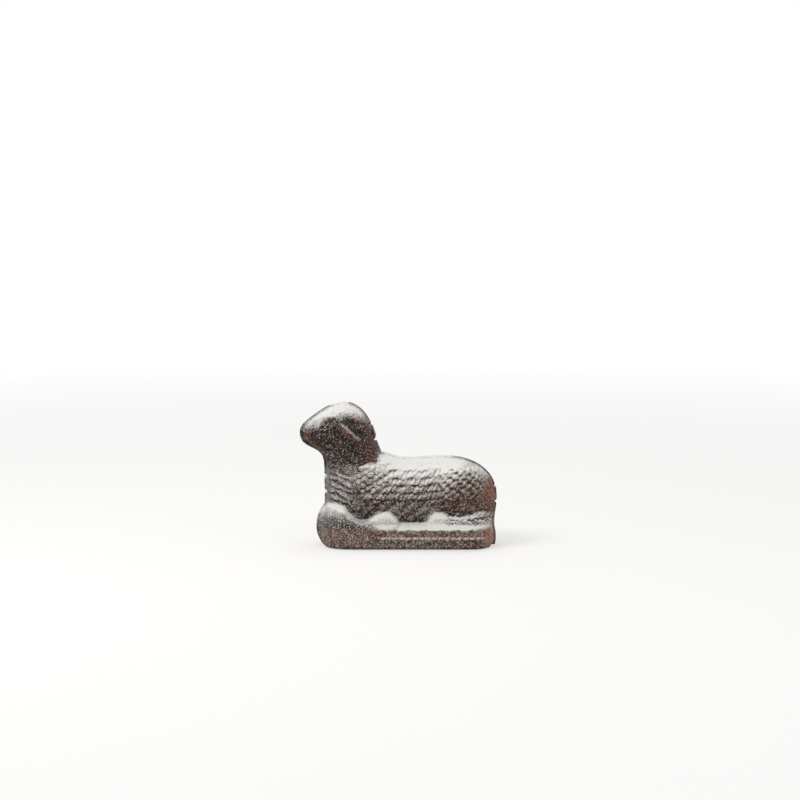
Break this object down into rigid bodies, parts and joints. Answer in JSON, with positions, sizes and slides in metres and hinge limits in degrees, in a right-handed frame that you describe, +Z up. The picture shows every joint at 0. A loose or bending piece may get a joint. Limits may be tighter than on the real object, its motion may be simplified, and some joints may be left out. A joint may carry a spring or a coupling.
{
  "type": "lamb cake mould",
  "caption": "Cast two-part baking mould in the form of a lying lamb on a base; the halves part on the centre plane, located by dowels and held by wire bails.",
  "frame": {"origin": "middle of the underside of the closed mould", "axes": "+X from the nose to the rump, +Y towards the half that stays put, +Z up"},
  "size_m": [0.219, 0.099, 0.1585],
  "materials": {
    "casting": "seasoned dark-brown cast iron, dusted with pale powder on what faces up",
    "wire": "drawn steel wire, dulled",
    "dowel": "turned steel"
  },
  "bodies": {
    "far_casting": {"far_half": "casting", "dowel_crown": "dowel", "dowel_back": "dowel", "dowel_heel": "dowel", "dowel_toe": "dowel"},
    "near_casting": {"near_half": "casting"},
    "chest_latch": {"bail_chest": "wire"},
    "neck_latch": {"bail_neck": "wire"},
    "rump_latch": {"bail_rump": "wire"}
  },
  "joints": [
    {"name": "halves_part", "type": "slide", "parent": "far_casting", "child": "near_casting", "axis": [0, -1, 0], "range_m": [0, 0.13]},
    {"name": "chest_bail_swing", "type": "hinge", "parent": "far_casting", "child": "chest_latch", "pos_m": [-0.08019, 0.0085, 0.06829], "axis": [-0.0106, 0, 0.9999], "range_deg": [0, 190.5]},
    {"name": "neck_bail_swing", "type": "hinge", "parent": "far_casting", "child": "neck_latch", "pos_m": [-0.02919, 0.0085, 0.12501], "axis": [0.3021, 0, -0.9533], "range_deg": [0, 190.5]},
    {"name": "rump_bail_swing", "type": "hinge", "parent": "far_casting", "child": "rump_latch", "pos_m": [0.10638, 0.0085, 0.05655], "axis": [0.0786, 0, -0.9969], "range_deg": [0, 190.5]}
  ]
}
